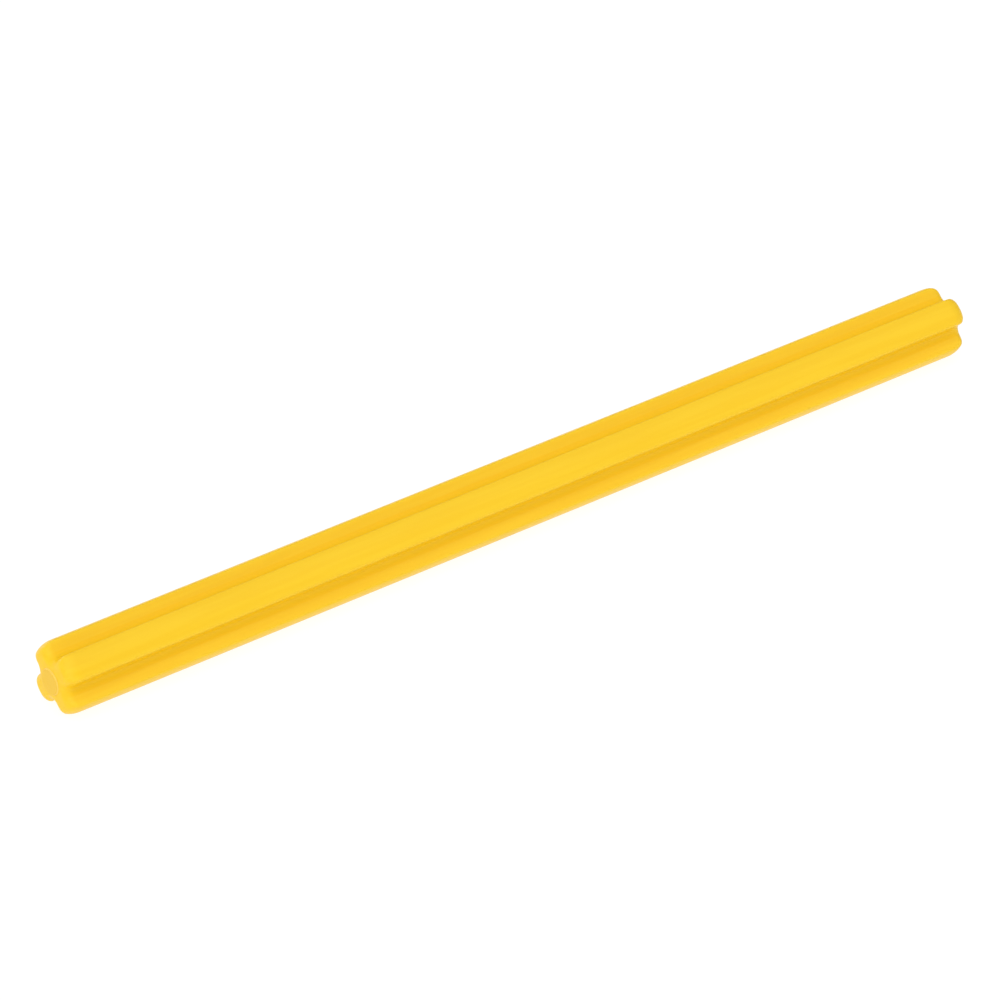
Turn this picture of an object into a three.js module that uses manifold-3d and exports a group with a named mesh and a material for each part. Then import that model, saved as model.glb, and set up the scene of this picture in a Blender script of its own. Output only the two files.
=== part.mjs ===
// Cross axle of a plastic construction toy: one injection moulding that fills nine 8 mm modules, less a
// small clearance at each end.
//
// Four equal arms run the whole length. A cross-shaped hub hole drives the arms by their flat flanks, and
// their outer faces lie on one cylinder, so the axle also turns in a round hole. Both ends are rounded off
// so that the axle finds its hole, and a low round disc stands in the middle of each end.
//
// Frame: millimetres, +Z up, origin at the middle of the axle, axle along X. The arms point halfway between
// the Y and Z axes, as they do when the axle lies on a table on two of them.

import * as THREE from "three";
import { mergeVertices } from "three/addons/utils/BufferGeometryUtils.js";
import Module from "manifold-3d";

// Driving dimensions, in millimetres.
const MODULE_LENGTH = 8;
const MODULE_COUNT = 9;
const END_CLEARANCE = 0.1; // left free at each end of the nine modules
const DIAMETER = 4.75; // over opposite arms, a running fit in a 4.8 mm round hole
const ARM_WIDTH = 1.85; // between the two flanks of an arm
const GROOVE_FILLET = 0.5; // radius where two neighbouring arms meet
const ARM_EDGE_RADIUS = 0.15; // rounding of an arm's two long edges
const TIP_ROUND_LENGTH = 1.1; // the rounding of the arms' outer faces at the ends, along the axle
const TIP_ROUND_DEPTH = 0.65; // the same rounding, towards the axis
const END_EDGE_RADIUS = 0.6; // rounding of the flanks' edges at the ends
const DISC_RADIUS = 0.86; // moulding disc in the middle of each end
const DISC_HEIGHT = 0.1;
const DISC_EDGE_RADIUS = 0.08;

// Values that follow from them.
const LENGTH = MODULE_COUNT * MODULE_LENGTH - 2 * END_CLEARANCE;
const RADIUS = DIAMETER / 2;
const ARM_HALF = ARM_WIDTH / 2;
const ARM_LENGTH = LENGTH - 2 * DISC_HEIGHT; // the arms end just short of the discs

// How finely round shapes are divided.
const BODY_SIDES = 96;
const DISC_SIDES = 48;
const FILLET_STEPS = 4;
const TIP_STEPS = 9;
const END_EDGE_STEPS = 5;
const DISC_EDGE_STEPS = 3;

const wasm = await Module();
wasm.setup();

// A closed three.js geometry as a solid that can be joined and cut.
function toSolid(geometry) {
  const bare = geometry.clone();
  bare.deleteAttribute("normal");
  bare.deleteAttribute("uv");
  const merged = mergeVertices(bare);
  const index = merged.index.array;
  const triangles = [];
  for (let i = 0; i < index.length; i += 3) {
    const [a, b, c] = [index[i], index[i + 1], index[i + 2]];
    // A lathe's triangles shrink to nothing where its profile touches the axis.
    if (a !== b && b !== c && c !== a) triangles.push(a, b, c);
  }
  return new wasm.Manifold(new wasm.Mesh({
    numProp: 3,
    vertProperties: new Float32Array(merged.attributes.position.array),
    triVerts: new Uint32Array(triangles),
  }));
}

function toGeometry(solid) {
  const mesh = solid.getMesh();
  const geometry = new THREE.BufferGeometry();
  geometry.setAttribute("position", new THREE.BufferAttribute(mesh.vertProperties, 3));
  geometry.setIndex(new THREE.BufferAttribute(mesh.triVerts, 1));
  geometry.computeVertexNormals();
  return geometry;
}

// The cross in the XY plane. The rounding of each long edge is one slanted face that touches the round at
// 45 degrees. The two slanted faces of an arm meet beyond the axle's radius, where the turned envelope
// trims them.
function crossShape() {
  const roundX = ARM_HALF - ARM_EDGE_RADIUS;
  const roundY = Math.sqrt((RADIUS - ARM_EDGE_RADIUS) ** 2 - roundX ** 2);
  const armEnd = roundX + roundY + ARM_EDGE_RADIUS * Math.SQRT2;
  const slantStart = armEnd - ARM_HALF;
  const filletCentre = ARM_HALF + GROOVE_FILLET;
  const quarterTurn = Math.PI / 2;
  const points = [];
  for (let arm = 0; arm < 4; arm += 1) {
    const corner = [
      new THREE.Vector2(ARM_HALF, slantStart),
      new THREE.Vector2(0, armEnd),
      new THREE.Vector2(-ARM_HALF, slantStart),
    ];
    for (let step = 0; step <= FILLET_STEPS; step += 1) {
      const angle = quarterTurn * step / FILLET_STEPS;
      const x = -filletCentre + GROOVE_FILLET * Math.cos(angle);
      const y = filletCentre - GROOVE_FILLET * Math.sin(angle);
      corner.push(new THREE.Vector2(x, y));
    }
    const centre = new THREE.Vector2(0, 0);
    corner.forEach((point) => points.push(point.rotateAround(centre, arm * quarterTurn)));
  }
  return new THREE.Shape(points);
}

// The cross along Z, with the edges of its two end faces rounded.
function crossBar() {
  const geometry = new THREE.ExtrudeGeometry(crossShape(), {
    depth: ARM_LENGTH - 2 * END_EDGE_RADIUS,
    bevelEnabled: true,
    bevelThickness: END_EDGE_RADIUS,
    bevelSize: END_EDGE_RADIUS,
    bevelOffset: -END_EDGE_RADIUS,
    bevelSegments: END_EDGE_STEPS,
  });
  geometry.translate(0, 0, END_EDGE_RADIUS - ARM_LENGTH / 2);
  return toSolid(geometry);
}

// A solid turned about Z, the same at both ends: a cylinder with its edges rounded by a quarter ellipse.
function turnedBar(radius, length, roundLength, roundDepth, steps, sides) {
  const end = length / 2;
  const upper = [];
  for (let step = 0; step <= steps; step += 1) {
    const angle = (Math.PI / 2) * step / steps;
    const r = radius - roundDepth * (1 - Math.cos(angle));
    const z = end - roundLength * (1 - Math.sin(angle));
    upper.push(new THREE.Vector2(r, z));
  }
  upper.push(new THREE.Vector2(0, end));
  const lower = upper.map((point) => new THREE.Vector2(point.x, -point.y)).reverse();
  const geometry = new THREE.LatheGeometry([...lower, ...upper], sides);
  geometry.rotateX(Math.PI / 2);
  return toSolid(geometry);
}

// The arms: the cross trimmed by the axle's round envelope.
function arms() {
  const envelope = turnedBar(
    RADIUS, ARM_LENGTH, TIP_ROUND_LENGTH, TIP_ROUND_DEPTH, TIP_STEPS, BODY_SIDES,
  );
  return crossBar().intersect(envelope);
}

// A round core whose two ends stand proud of the arms as the moulding discs.
function discs() {
  return turnedBar(DISC_RADIUS, LENGTH, DISC_EDGE_RADIUS, DISC_EDGE_RADIUS, DISC_EDGE_STEPS, DISC_SIDES);
}

function yellowPlastic() {
  return new THREE.MeshStandardMaterial({ color: 0xfbcb35, roughness: 0.35, metalness: 0 });
}

function crossAxle() {
  const mesh = new THREE.Mesh(toGeometry(arms().add(discs())), yellowPlastic());
  mesh.name = "cross_axle";
  // From the Z axis to the X axis, after an eighth of a turn that sets the arms between Y and Z.
  mesh.rotation.set(0, Math.PI / 2, Math.PI / 4);
  return mesh;
}

const model = new THREE.Group();
model.add(crossAxle());

export default model;
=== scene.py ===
# Looks of the cross axle: a yellow moulded plastic axle on a pale floor under soft studio light.
#
# Metres, in the part's own frame: axle along X, arms between Y and Z, origin at its middle.

import math

import bpy
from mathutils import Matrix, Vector

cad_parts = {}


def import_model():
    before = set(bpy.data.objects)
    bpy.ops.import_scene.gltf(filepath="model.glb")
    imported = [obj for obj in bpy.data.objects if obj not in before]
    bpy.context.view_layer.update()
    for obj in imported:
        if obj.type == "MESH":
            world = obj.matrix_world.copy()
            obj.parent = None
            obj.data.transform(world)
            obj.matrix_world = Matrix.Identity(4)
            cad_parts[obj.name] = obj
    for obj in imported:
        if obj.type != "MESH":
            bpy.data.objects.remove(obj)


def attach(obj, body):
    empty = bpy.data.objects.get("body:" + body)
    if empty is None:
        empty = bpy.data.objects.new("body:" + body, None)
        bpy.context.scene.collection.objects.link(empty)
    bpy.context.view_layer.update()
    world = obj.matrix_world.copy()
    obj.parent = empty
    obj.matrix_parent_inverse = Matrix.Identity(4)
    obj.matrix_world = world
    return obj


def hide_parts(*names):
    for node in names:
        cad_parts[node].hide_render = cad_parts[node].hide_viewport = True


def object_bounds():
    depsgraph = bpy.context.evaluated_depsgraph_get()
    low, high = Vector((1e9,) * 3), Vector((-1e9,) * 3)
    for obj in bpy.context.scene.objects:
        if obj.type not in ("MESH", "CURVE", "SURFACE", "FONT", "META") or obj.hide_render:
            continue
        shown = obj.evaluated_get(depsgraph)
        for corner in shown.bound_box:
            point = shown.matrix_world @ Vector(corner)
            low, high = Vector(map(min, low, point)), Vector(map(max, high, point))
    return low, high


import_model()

CAD_NODE = "cross_axle"
MM = 0.001

# The shape, as in the part's source.
DIAMETER = 4.75 * MM
ARM_WIDTH = 1.85 * MM
GROOVE_FILLET = 0.5 * MM
ARM_EDGE_RADIUS = 0.15 * MM
TIP_ROUND_LENGTH = 1.1 * MM
TIP_ROUND_DEPTH = 0.65 * MM
END_EDGE_RADIUS = 0.6 * MM
DISC_RADIUS = 0.86 * MM
DISC_HEIGHT = 0.1 * MM

# What the smooth model adds to it.
END_CORNER_RADIUS = 0.42 * MM  # the arms' long edges widen towards this radius at the ends
END_CORNER_LENGTH = 1.5 * MM  # over this length
END_CORNER_GROWTH = 1.5  # 1 widens them evenly, more leaves most of it to the very end
LARGEST_ROOM_SHARE = 0.95  # of the room that an edge's rounding has between the groove and the tip
LARGEST_HALF_SHARE = 0.9  # of the arm's half width
DISC_RIM_RADIUS = 0.06 * MM
DISC_FOOT_RADIUS = 0.025 * MM
DISC_DISH_DEPTH = 0.012 * MM
# The rim's pale mark is a painted highlight on the disc's wall.
RIM_HIGHLIGHT_ANGLE = math.radians(50)  # how far round the rim's rounding its pale mark goes

RADIUS = DIAMETER / 2
ARM_HALF = ARM_WIDTH / 2
QUARTER = math.pi / 2

# How finely the surface is divided.
FLANK_STEPS = 6
EDGE_STEPS = 6
TIP_STEPS = 14
FILLET_STEPS = 9
END_STATIONS = 30
STRAIGHT_STATIONS = 96
RIM_STEPS = 6
FOOT_STEPS = 4
DISH_RINGS = 10

# The photograph's camera.
CAMERA_AZIMUTH = math.radians(-37.35)
CAMERA_ELEVATION = math.radians(32.10)
CAMERA_DISTANCE = 419.8 * MM
CAMERA_LENS = 237.9  # millimetres, on a 36 mm sensor
CAMERA_SIDESTEP = -1.154 * MM  # how far the line of sight passes the axle's middle, to the right
CAMERA_RISE = -0.501 * MM  # and how far above it

# Studio light: a little from all sides, a broad key, a low glow from behind, and a gap in the light to the
# right of the key. Azimuth and elevation in degrees, how narrow each one is, and its strength.
ROOM_LIGHT = 0.19
KEY_LIGHT = (-108.6, 43.4, 4.4, 2.5)
BACK_LIGHT = (98.1, 6.5, 22.8, 2.8)
LIGHT_GAP = (-90, 30, 17.6, -2.35)
DARKEST_LIGHT = 0.02
FLOOR_GLOW = 0.89  # the floor is lit until it is white
FLOOR_HALF = 3.0  # half its width, in metres
FLOOR_COLOUR = (0.15, 0.15, 0.15, 1)

# The plastic's colours, in linear light. Those of the disc, its rim and the grooves are painted light that
# this studio light doesn't give:
# painted shade and sheen on the disc's face, a painted highlight on its rim and painted shade in the grooves.
PLASTIC_DEEP = (0.932, 0.582, 0.02, 1)
PLASTIC_PALE = (0.946, 0.608, 0.024, 1)
PLASTIC_WORN = (0.95, 0.625, 0.035, 1)
PLASTIC_DISC_SHADE_AND_SHEEN = (0.88, 0.55, 0.045, 1)
PLASTIC_RIM_HIGHLIGHT = (0.98, 0.66, 0.13, 1)
PLASTIC_GROOVE_SHADE = (0.935, 0.567, 0.01, 1)
WORN_SHARE = 0.4  # how much of the worn colour shows at most
END_WEAR = 0.35  # wear of the rounded ends, next to 1 on the long edges
SPECULAR_LEVEL = 0.15

# Sizes of the plastic's fine patterns across the axle, and how far each is drawn out along it.
FLOW_SIZE = 0.35 * MM
FLOW_STRETCH = 20
SKIN_SIZE = 0.12 * MM
SCRATCH_SIZE = 0.05 * MM
SCRATCH_STRETCH = 90

# How rough the plastic is between its flow marks and on them, and what its marks add.
SMOOTHEST = 0.31
ROUGHEST = 0.37
SCRATCH_ROUGHNESS = 0.08
WORN_ROUGHNESS = 0.12
DISC_ROUGHNESS = 0.1

# Heights of its fine relief.
SKIN_DEPTH = 0.002 * MM
FLOW_DEPTH = 0.003 * MM
SCRATCH_DEPTH = 0.001 * MM
DISC_GRAIN_DEPTH = 0.012 * MM

cad_low, cad_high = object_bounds()


def arc(centre, radius, start, end, steps):
    """Points on a circle of the section plane; angles run from the first axis to the second."""
    points = []
    for step in range(steps + 1):
        angle = start + (end - start) * step / steps
        points.append((centre[0] + radius * math.cos(angle), centre[1] + radius * math.sin(angle)))
    return points


def between(start, end, steps):
    """Evenly spaced points from start to end, without either of them."""
    return [
        tuple(a + (b - a) * step / steps for a, b in zip(start, end))
        for step in range(1, steps)
    ]


def arm_outline(radius, half, fillet, edge):
    """One arm along the section's second axis, from its right flank round its tip to the next groove."""
    round_x = half - edge
    round_y = math.sqrt((radius - edge) ** 2 - round_x ** 2)
    lean = math.atan2(round_y, round_x)
    groove = half + fillet
    right_edge = arc((round_x, round_y), edge, 0, lean, EDGE_STEPS)
    tip = arc((0, 0), radius, lean, math.pi - lean, TIP_STEPS)[1:-1]
    left_edge = arc((-round_x, round_y), edge, math.pi - lean, math.pi, EDGE_STEPS)
    fillet_arc = arc((-groove, groove), fillet, 0, -QUARTER, FILLET_STEPS)
    right_flank = between((half, groove), right_edge[0], FLANK_STEPS)
    left_flank = between(left_edge[-1], (-half, groove), FLANK_STEPS)
    return right_flank + right_edge + tip + left_edge + left_flank + fillet_arc


def cross_outline(radius, half, fillet, edge):
    """The whole section, its arms turned to lie between the frame's Y and Z axes."""
    points = []
    for arm in range(4):
        turn = arm * QUARTER + math.pi / 4
        cosine, sine = math.cos(turn), math.sin(turn)
        for x, y in arm_outline(radius, half, fillet, edge):
            points.append((x * cosine - y * sine, x * sine + y * cosine))
    return points


def rounded_off(distance, length, depth):
    """How far a quarter-ellipse rounding has drawn the surface in, at a distance from the end."""
    if distance >= length:
        return 0
    share = 1 - distance / length
    return depth * (1 - math.sqrt(1 - share ** 2))


def outline_at(distance):
    """The section at a distance from the arms' end face."""
    tip_inset = rounded_off(distance, TIP_ROUND_LENGTH, TIP_ROUND_DEPTH)
    flank_inset = rounded_off(distance, END_EDGE_RADIUS, END_EDGE_RADIUS)
    near_end = max(0, 1 - distance / END_CORNER_LENGTH)
    edge = ARM_EDGE_RADIUS + (END_CORNER_RADIUS - ARM_EDGE_RADIUS) * near_end ** END_CORNER_GROWTH
    radius = RADIUS - tip_inset
    half = ARM_HALF - flank_inset
    fillet = GROOVE_FILLET + flank_inset
    # Beyond this edge radius the rounding of the edge would run into the groove's fillet.
    room = (radius ** 2 - half ** 2 - (half + fillet) ** 2) / (2 * (radius - half))
    edge = min(edge, LARGEST_ROOM_SHARE * room, LARGEST_HALF_SHARE * half)
    return cross_outline(radius, half, fillet, edge)


def end_distances():
    """Distances from the end face for the rounded end, close together where it curves most."""
    distances = []
    for step in range(END_STATIONS):
        angle = QUARTER * step / END_STATIONS
        distances.append(END_CORNER_LENGTH * (1 - math.sin(angle)))
    return distances


def disc_profile():
    """(radius, height above the arms' end face) of the moulding disc, from its foot to its middle."""
    foot = arc((DISC_RADIUS + DISC_FOOT_RADIUS, DISC_FOOT_RADIUS), DISC_FOOT_RADIUS,
               -QUARTER, -math.pi, FOOT_STEPS)
    rim = arc((DISC_RADIUS - DISC_RIM_RADIUS, DISC_HEIGHT - DISC_RIM_RADIUS), DISC_RIM_RADIUS,
              0, QUARTER, RIM_STEPS)
    face = DISC_RADIUS - DISC_RIM_RADIUS
    dish = []
    for ring in range(1, DISH_RINGS):
        share = 1 - ring / DISH_RINGS
        dish.append((face * share, DISC_HEIGHT - DISC_DISH_DEPTH * (1 - share ** 2) ** 2))
    return foot + rim + dish


def half_rings():
    """Rings of (distance from the middle, outline) from the middle of the axle to its end disc."""
    end_face = cad_high.x - DISC_HEIGHT
    straight = end_face - END_CORNER_LENGTH
    rings = []
    full = outline_at(END_CORNER_LENGTH)
    for station in range(STRAIGHT_STATIONS // 2):
        rings.append((straight * station / (STRAIGHT_STATIONS // 2), full))
    for distance in end_distances():
        rings.append((end_face - distance, outline_at(distance)))
    last = rings[-1][1]
    for radius, height in disc_profile():
        circle = []
        for y, z in last:
            reach = math.hypot(y, z)
            circle.append((y * radius / reach, z * radius / reach))
        rings.append((end_face + height, circle))
    return rings


def outline_marks(on_edge, in_groove):
    """A value for each point of the outline: one on the arms' long edges, one in the grooves where their
    shade is painted, 0 elsewhere.
    """
    flank = [0] * (FLANK_STEPS - 1)
    edge = [on_edge] * (EDGE_STEPS + 1)
    tip = [0] * (TIP_STEPS - 1)
    fillet = [in_groove] * (FILLET_STEPS + 1)
    return 4 * (flank + edge + tip + edge + flank + fillet)


def end_wear(x):
    """Wear of the rounded ends, which meet every hole first: 0 where the arms are straight."""
    straight = cad_high.x - DISC_HEIGHT - TIP_ROUND_LENGTH
    return min(1, max(0, (abs(x) - straight) / TIP_ROUND_LENGTH)) ** 2


def axle_marks(x, y, z, edge, groove):
    """Wear, the grooves' painted shade, the disc face (its grain and its painted shade and sheen) and the
    disc rim's painted highlight at a point of the surface, each from 0 to 1.
    """
    height = abs(x) - (cad_high.x - DISC_HEIGHT)
    if height <= 0:
        return max(edge, END_WEAR * end_wear(x)), groove * (1 - end_wear(x)), 0, 0
    # The rim's painted highlight ends partway round its rounding, so it shows only where the disc's wall
    # does.
    wall_radius = DISC_RADIUS - DISC_RIM_RADIUS * (1 - math.cos(RIM_HIGHLIGHT_ANGLE))
    if math.hypot(y, z) > wall_radius:
        return 0, 0, 0, 1
    return 0, 0, 1, 0


def axle_mesh():
    """One closed smooth surface over the whole axle, with its marks as attributes."""
    half = half_rings()
    rings = [(-x, outline) for x, outline in reversed(half[1:])] + half
    count = len(rings[0][1])
    vertices = []
    marks = []
    for x, outline in rings:
        for (y, z), edge, groove in zip(outline, outline_marks(1, 0), outline_marks(0, 1)):
            vertices.append((x, y, z))
            marks.append(axle_marks(x, y, z, edge, groove))
    faces = []
    for ring in range(len(rings) - 1):
        for i in range(count):
            j = (i + 1) % count
            first, second = ring * count, (ring + 1) * count
            faces.append((first + i, first + j, second + j, second + i))
    for x, ring, turned in ((rings[0][0], 0, False), (rings[-1][0], len(rings) - 1, True)):
        middle = len(vertices)
        vertices.append((x, 0, 0))
        marks.append(axle_marks(x, 0, 0, 0, 0))
        for i in range(count):
            j = (i + 1) % count
            rim = (ring * count + i, ring * count + j)
            faces.append((middle, *(rim if turned else reversed(rim))))
    mesh = bpy.data.meshes.new("axle")
    mesh.from_pydata(vertices, [], faces)
    mesh.polygons.foreach_set("use_smooth", [True] * len(mesh.polygons))
    for name, values in zip(("wear", "groove", "disc", "rim"), zip(*marks)):
        mesh.attributes.new(name, "FLOAT", "POINT").data.foreach_set("value", values)
    return mesh


class Graph:
    """A material's node tree, with short ways to add the nodes used here."""

    def __init__(self, name):
        self.material = bpy.data.materials.new(name)
        self.material.use_nodes = True
        self.tree = self.material.node_tree
        self.shader = self.tree.nodes["Principled BSDF"]

    def feed(self, socket, value):
        """Link an output to the socket, or set the socket to a plain value."""
        if isinstance(value, bpy.types.NodeSocket):
            self.tree.links.new(value, socket)
        else:
            socket.default_value = value

    def add(self, kind, values, **settings):
        """A node with its settings, and its inputs by name or number."""
        made = self.tree.nodes.new(kind)
        for name, value in settings.items():
            setattr(made, name, value)
        for socket, value in values.items():
            self.feed(made.inputs[socket], value)
        return made

    def math(self, operation, *values):
        return self.add("ShaderNodeMath", dict(enumerate(values)), operation=operation).outputs[0]

    def ramp(self, value, low, high, to_low=0.0, to_high=1.0):
        """The value stretched from low..high to another range, smoothly and without overshoot."""
        values = {"Value": value, "From Min": low, "From Max": high, "To Min": to_low, "To Max": to_high}
        return self.add("ShaderNodeMapRange", values, interpolation_type="SMOOTHSTEP").outputs[0]

    def mix(self, amount, first, second):
        # A mix node's colour inputs are its seventh and eighth, and its colour output the third.
        return self.add("ShaderNodeMix", {0: amount, 6: first, 7: second}, data_type="RGBA").outputs[2]

    def attribute(self, name):
        return self.add("ShaderNodeAttribute", {}, attribute_name=name).outputs["Fac"]

    def noise(self, size, detail, stretch=1.0):
        """Noise with features of the given size in metres, drawn out along the axle by stretch."""
        coordinates = self.add("ShaderNodeTexCoord", {}).outputs["Object"]
        scale = (1 / (size * stretch), 1 / size, 1 / size)
        scaled = self.add("ShaderNodeVectorMath", {0: coordinates, 1: scale}, operation="MULTIPLY").outputs[0]
        values = {"Vector": scaled, "Scale": 1.0, "Detail": detail, "Roughness": 0.55}
        return self.add("ShaderNodeTexNoise", values).outputs[0]

    def total(self, *values):
        """The sum of several values."""
        total = values[0]
        for value in values[1:]:
            total = self.math("ADD", total, value)
        return total

    def scaled(self, value, amount):
        return self.math("MULTIPLY", value, amount)


def moulded_plastic():
    """Yellow moulded plastic: faint flow marks, a satin skin, sliding marks and softly worn edges, with
    painted shade in the grooves, painted shade and sheen on the disc's face and a painted highlight on its
    rim.
    """
    graph = Graph("yellow_plastic")
    shader = graph.shader
    wear = graph.attribute("wear")
    disc = graph.attribute("disc")
    flow = graph.noise(FLOW_SIZE, detail=1, stretch=FLOW_STRETCH)
    skin = graph.noise(SKIN_SIZE, detail=3)
    scratch = graph.ramp(graph.noise(SCRATCH_SIZE, detail=0, stretch=SCRATCH_STRETCH), 0.64, 0.76)
    worn = graph.math("MULTIPLY", wear, graph.ramp(skin, 0.4, 0.6))

    colour = graph.mix(graph.ramp(flow, 0.3, 0.7), PLASTIC_DEEP, PLASTIC_PALE)
    # Painted shade: the grooves get a deeper, more orange colour where shade falls in them.
    colour = graph.mix(graph.attribute("groove"), colour, PLASTIC_GROOVE_SHADE)
    colour = graph.mix(graph.scaled(worn, WORN_SHARE), colour, PLASTIC_WORN)
    # Painted shade and sheen: the disc's face is coloured darker and paler than the arms.
    colour = graph.mix(disc, colour, PLASTIC_DISC_SHADE_AND_SHEEN)
    # Painted highlight: the wall of the disc's rim is coloured pale.
    colour = graph.mix(graph.attribute("rim"), colour, PLASTIC_RIM_HIGHLIGHT)
    graph.feed(shader.inputs["Base Color"], colour)

    roughness = graph.total(
        graph.ramp(flow, 0.3, 0.7, SMOOTHEST, ROUGHEST),
        graph.scaled(scratch, SCRATCH_ROUGHNESS),
        graph.scaled(worn, WORN_ROUGHNESS),
        graph.scaled(disc, DISC_ROUGHNESS),
    )
    graph.feed(shader.inputs["Roughness"], roughness)

    height = graph.total(
        graph.scaled(skin, SKIN_DEPTH),
        graph.scaled(flow, FLOW_DEPTH),
        graph.scaled(scratch, -SCRATCH_DEPTH),
        graph.math("MULTIPLY", disc, graph.scaled(skin, DISC_GRAIN_DEPTH)),
    )
    bump = graph.add("ShaderNodeBump", {"Height": height, "Distance": 1.0, "Strength": 1.0})
    graph.feed(shader.inputs["Normal"], bump.outputs[0])

    shader.inputs["IOR"].default_value = 1.5
    shader.inputs["Specular IOR Level"].default_value = SPECULAR_LEVEL
    return graph.material


def axle():
    """The axle's looks, in place of its CAD node."""
    piece = bpy.data.objects.new("axle", axle_mesh())
    bpy.context.scene.collection.objects.link(piece)
    piece.data.materials.append(moulded_plastic())
    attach(piece, "root")
    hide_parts(CAD_NODE)


def floor():
    """A pale floor under the axle, wide enough to fill the view."""
    half = FLOOR_HALF
    mesh = bpy.data.meshes.new("floor")
    corners = [(-half, -half, 0), (half, -half, 0), (half, half, 0), (-half, half, 0)]
    mesh.from_pydata(corners, [], [(0, 1, 2, 3)])
    plane = bpy.data.objects.new("floor", mesh)
    plane.location.z = cad_low.z
    bpy.context.scene.collection.objects.link(plane)
    material = bpy.data.materials.new("pale_floor")
    material.use_nodes = True
    shader = material.node_tree.nodes["Principled BSDF"]
    shader.inputs["Base Color"].default_value = FLOOR_COLOUR
    shader.inputs["Roughness"].default_value = 0.9
    shader.inputs["Emission Color"].default_value = (1, 1, 1, 1)
    shader.inputs["Emission Strength"].default_value = FLOOR_GLOW
    mesh.materials.append(material)


def camera():
    """The camera, looking along its own line past the axle's middle."""
    data = bpy.data.cameras.new("camera")
    data.lens = CAMERA_LENS
    data.sensor_width = 36
    data.clip_start = 0.01
    made = bpy.data.objects.new("camera", data)
    bpy.context.scene.collection.objects.link(made)
    back = Vector((
        math.sin(CAMERA_AZIMUTH) * math.cos(CAMERA_ELEVATION),
        -math.cos(CAMERA_AZIMUTH) * math.cos(CAMERA_ELEVATION),
        math.sin(CAMERA_ELEVATION),
    ))
    right = Vector((0, 0, 1)).cross(back).normalized()
    up = back.cross(right)
    made.location = back * CAMERA_DISTANCE + right * CAMERA_SIDESTEP + up * CAMERA_RISE
    made.rotation_mode = "QUATERNION"
    made.rotation_quaternion = back.to_track_quat("Z", "Y")
    bpy.context.scene.camera = made


def sky_math(tree, operation, *values):
    """A math node in the world's tree, fed with outputs or plain values."""
    made = tree.nodes.new("ShaderNodeMath")
    made.operation = operation
    for socket, value in zip(made.inputs, values):
        if isinstance(value, bpy.types.NodeSocket):
            tree.links.new(value, socket)
        else:
            socket.default_value = value
    return made.outputs[0]


def sky_lobe(tree, azimuth, elevation, sharpness, strength):
    """Soft light from one side of the room: strongest towards the given direction."""
    azimuth, elevation = math.radians(azimuth), math.radians(elevation)
    flat = math.cos(elevation)
    towards = (flat * math.cos(azimuth), flat * math.sin(azimuth), math.sin(elevation))
    sky = tree.nodes.new("ShaderNodeTexCoord").outputs["Generated"]
    dot = tree.nodes.new("ShaderNodeVectorMath")
    dot.operation = "DOT_PRODUCT"
    tree.links.new(sky, dot.inputs[0])
    dot.inputs[1].default_value = towards
    facing = sky_math(tree, "MULTIPLY_ADD", dot.outputs["Value"], 0.5, 0.5)
    return sky_math(tree, "MULTIPLY", sky_math(tree, "POWER", facing, sharpness), strength)


def world():
    """Soft studio light: a broad key from above the camera's left, a low glow from behind, and a gap."""
    made = bpy.data.worlds.new("studio")
    made.use_nodes = True
    tree = made.node_tree
    background = tree.nodes["Background"]
    background.inputs["Color"].default_value = (1, 1, 1, 1)
    light = ROOM_LIGHT
    for lobe in (KEY_LIGHT, BACK_LIGHT, LIGHT_GAP):
        light = sky_math(tree, "ADD", sky_lobe(tree, *lobe), light)
    light = sky_math(tree, "MAXIMUM", light, DARKEST_LIGHT)
    tree.links.new(light, background.inputs["Strength"])
    bpy.context.scene.world = made


axle()
floor()
camera()
world()
bpy.context.scene.view_settings.view_transform = "Standard"
